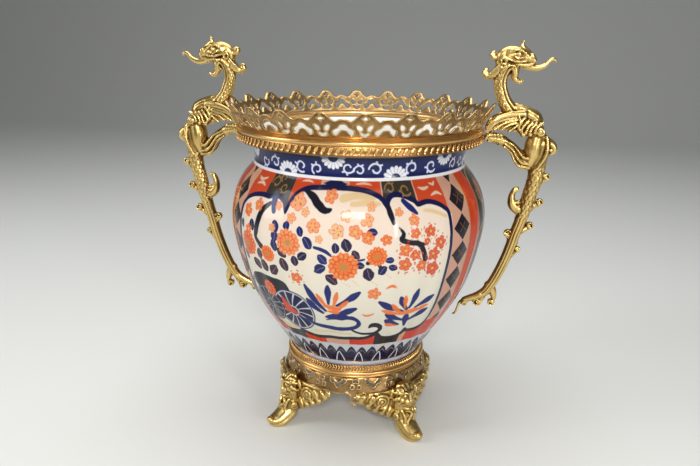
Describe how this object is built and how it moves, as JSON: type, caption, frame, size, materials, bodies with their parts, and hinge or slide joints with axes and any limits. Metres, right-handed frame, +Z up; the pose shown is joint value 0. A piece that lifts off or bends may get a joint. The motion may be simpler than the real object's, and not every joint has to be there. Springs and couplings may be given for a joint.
{
  "type": "cachepot",
  "caption": "Ribbed porcelain cachepot with gilt bronze mounts: pierced rim, dragon handles and a footed stand; it holds a potted plant.",
  "frame": {"origin": "on the ground under the middle of the jar", "axes": "+Z up, the two handles along X, the painted front faces -Y"},
  "size_m": [0.402, 0.2762, 0.405],
  "materials": {
    "porcelain": "glossy white glaze painted in dark blue, iron red and gold",
    "yellow_gilt": "chased bronze with bright yellow gilding, darker in the hollows",
    "copper_gilt": "cast bronze mouldings with orange gold gilding",
    "brown_gilt": "pierced cast bronze with worn, browned gilding"
  },
  "bodies": {
    "root": {"porcelain_jar": "porcelain", "rim_band": "copper_gilt", "rim_gallery": "brown_gilt", "dragon_handle_left": "yellow_gilt", "dragon_handle_right": "yellow_gilt", "base_band": "copper_gilt", "base_skirt": "brown_gilt", "foot_front_right": "yellow_gilt", "foot_back_right": "yellow_gilt", "foot_back_left": "yellow_gilt", "foot_front_left": "yellow_gilt"}
  },
  "joints": []
}
